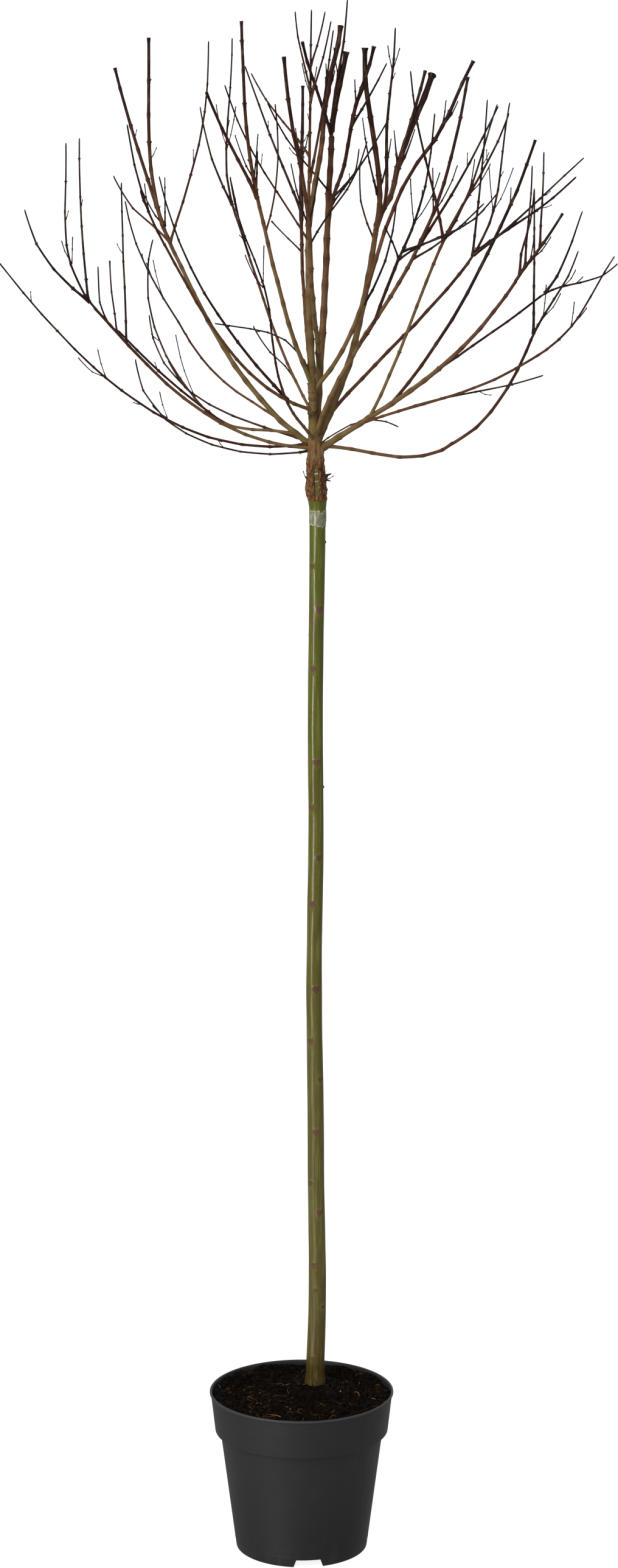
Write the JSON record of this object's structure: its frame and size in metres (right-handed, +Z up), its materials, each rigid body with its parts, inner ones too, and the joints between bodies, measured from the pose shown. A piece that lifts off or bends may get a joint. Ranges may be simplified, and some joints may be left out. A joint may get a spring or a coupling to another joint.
{
  "type": "bare standard tree in a pot",
  "caption": "Leafless standard tree: a slim grafted stem with a round head of pruned boughs and bare twigs, in a black nursery pot of compost.",
  "frame": {"origin": "middle of the pot's underside, on the flat disc that the pot stands on", "axes": "+Z up along the stem, +X to the right and +Y to the back as seen from the front"},
  "size_m": [0.9029, 0.7025, 2.348],
  "materials": {
    "pot": "black, faintly glossy, moulded",
    "compost": "damp, crumbly, with tan fibres",
    "stem": "smooth green-brown bark with bud scars",
    "bough": "smooth tan to olive bark with nodes",
    "twigs": "smooth dark red-brown bark with nodes"
  },
  "bodies": {
    "root": {"bough_back_left": "bough", "bough_back_right_high": "bough", "bough_back_top": "bough", "bough_back_upright": "bough", "bough_front_left": "bough", "bough_front_right": "bough", "bough_front_top": "bough", "bough_front_upright": "bough", "bough_leader": "bough", "bough_left_back": "bough", "bough_left_back_low": "bough", "bough_left_front": "bough", "bough_left_low": "bough", "bough_left_main": "bough", "bough_left_upright": "bough", "bough_middle_top": "bough", "bough_middle_upright": "bough", "bough_right_back": "bough", "bough_right_back_low": "bough", "bough_right_dark": "bough", "bough_right_front_high": "bough", "bough_right_front_low": "bough", "bough_right_high": "bough", "bough_right_inner": "bough", "bough_right_main": "bough", "bough_right_upright": "bough", "bough_sweep_high": "bough", "bough_sweep_low": "bough", "compost": "compost", "pot": "pot", "stem": "stem", "twigs_back_left": "twigs", "twigs_back_right_high": "twigs", "twigs_back_top": "twigs", "twigs_back_upright": "twigs", "twigs_far_left": "twigs", "twigs_front_left": "twigs", "twigs_front_right": "twigs", "twigs_front_top": "twigs", "twigs_front_upright": "twigs", "twigs_leader": "twigs", "twigs_left_back": "twigs", "twigs_left_back_low": "twigs", "twigs_left_front": "twigs", "twigs_left_low": "twigs", "twigs_left_main": "twigs", "twigs_left_upright": "twigs", "twigs_middle_top": "twigs", "twigs_middle_upright": "twigs", "twigs_right_back": "twigs", "twigs_right_back_low": "twigs", "twigs_right_dark": "twigs", "twigs_right_front_high": "twigs", "twigs_right_front_low": "twigs", "twigs_right_high": "twigs", "twigs_right_inner": "twigs", "twigs_right_main": "twigs", "twigs_right_upright": "twigs", "twigs_sweep_high": "twigs", "twigs_under_left": "twigs"}
  },
  "joints": []
}
